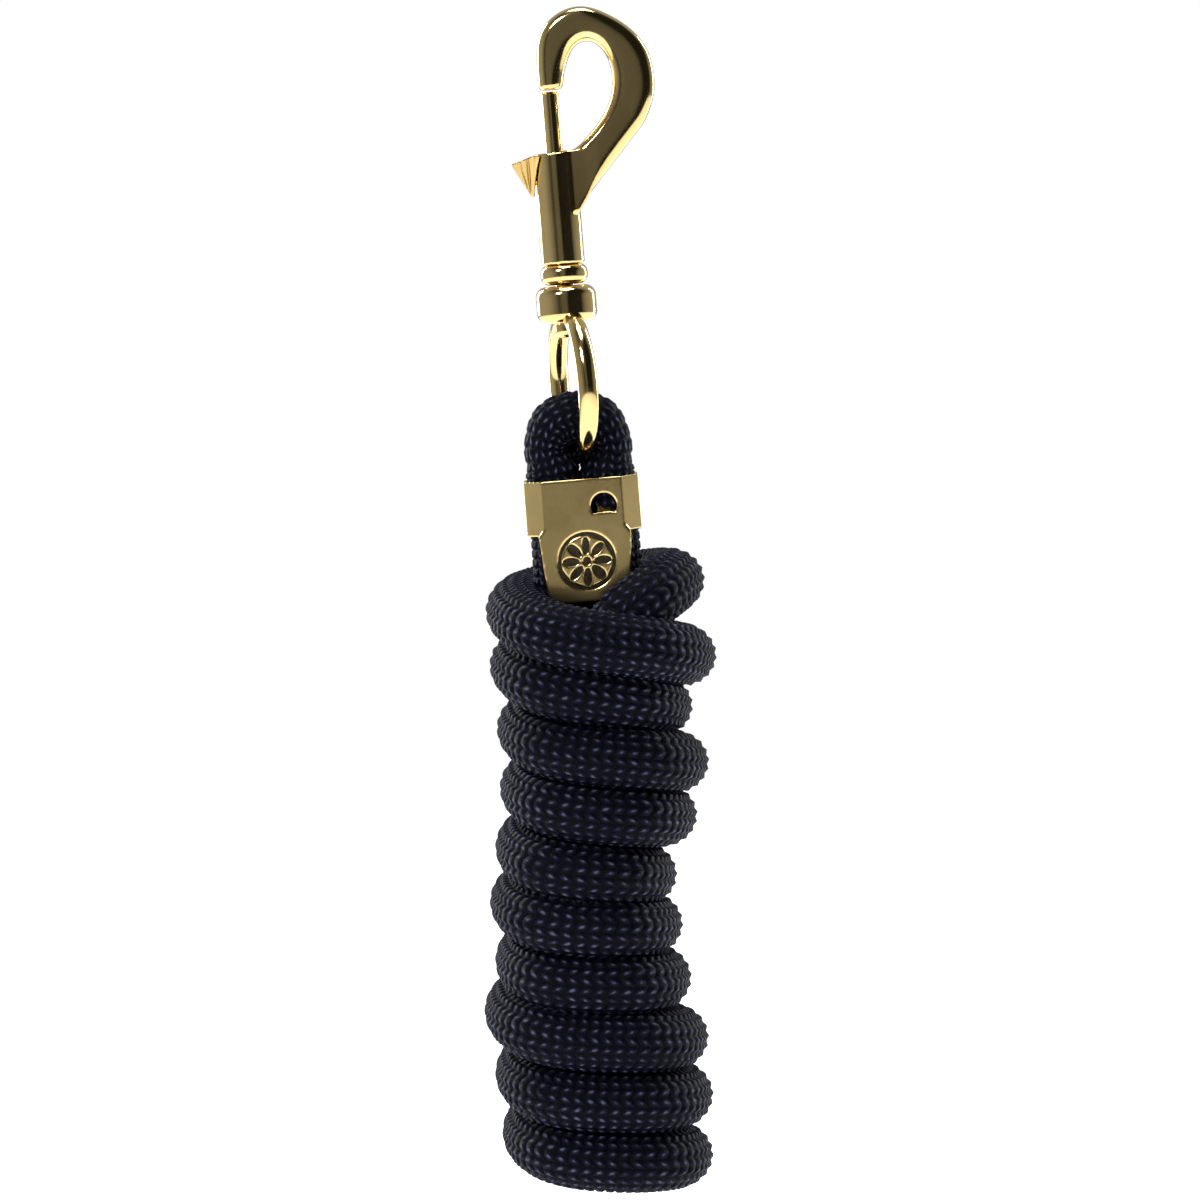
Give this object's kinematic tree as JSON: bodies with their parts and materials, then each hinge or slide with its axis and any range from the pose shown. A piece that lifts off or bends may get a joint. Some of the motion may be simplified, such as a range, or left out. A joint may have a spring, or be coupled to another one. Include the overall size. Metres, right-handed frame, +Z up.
{
  "type": "lead rope",
  "caption": "Horse lead rope wound into a hanging coil, with a thumb-bolt swivel snap, a round eye and a folded clamp over the rope's loop.",
  "frame": {"origin": "top of the inside of the snap's hook, where it hangs on a ring", "axes": "+Z up along the snap's barrel, +X from the gate towards the hook's spine, +Y to the back, away from the clamp's badge"},
  "size_m": [0.0655, 0.064, 0.2961],
  "materials": {
    "gold_plate": "polished gold-coloured plating on cast metal",
    "clamp_plate": "satin gold-coloured plated sheet",
    "spring_steel": "drawn wire",
    "navy_rope": "braided navy polypropylene",
    "navy_thread": "waxed thread"
  },
  "bodies": {
    "snap": {"snap_body": "gold_plate", "barrel_plug": "gold_plate", "swivel_collar": "gold_plate", "swivel_rivet": "gold_plate", "gate_spring": "spring_steel"},
    "gate": {"gate_bolt": "gold_plate", "thumb_knob": "gold_plate"},
    "eye": {"swivel_eye": "gold_plate"},
    "rope": {"rope_clamp": "clamp_plate", "rope_loop": "navy_rope", "rope_coil": "navy_rope", "rope_last_wrap": "navy_rope", "rope_tail": "navy_rope", "end_whipping": "navy_thread"}
  },
  "joints": [
    {"name": "gate_slide", "type": "slide", "parent": "snap", "child": "gate", "axis": [0, 0, -1], "range_m": [0, 0.0125], "stiffness_N_per_m": 300, "springref_m": -0.006, "deforming": ["gate_spring"]},
    {"name": "eye_swivel", "type": "hinge", "parent": "snap", "child": "eye", "pos_m": [-0.0098, 0, -0.0646], "axis": [0, 0, 1], "continuous": true},
    {"name": "rope_swing", "type": "hinge", "parent": "eye", "child": "rope", "pos_m": [-0.0098, 0, -0.1022], "axis": [0, 1, 0], "range_deg": [-90, 90]}
  ]
}
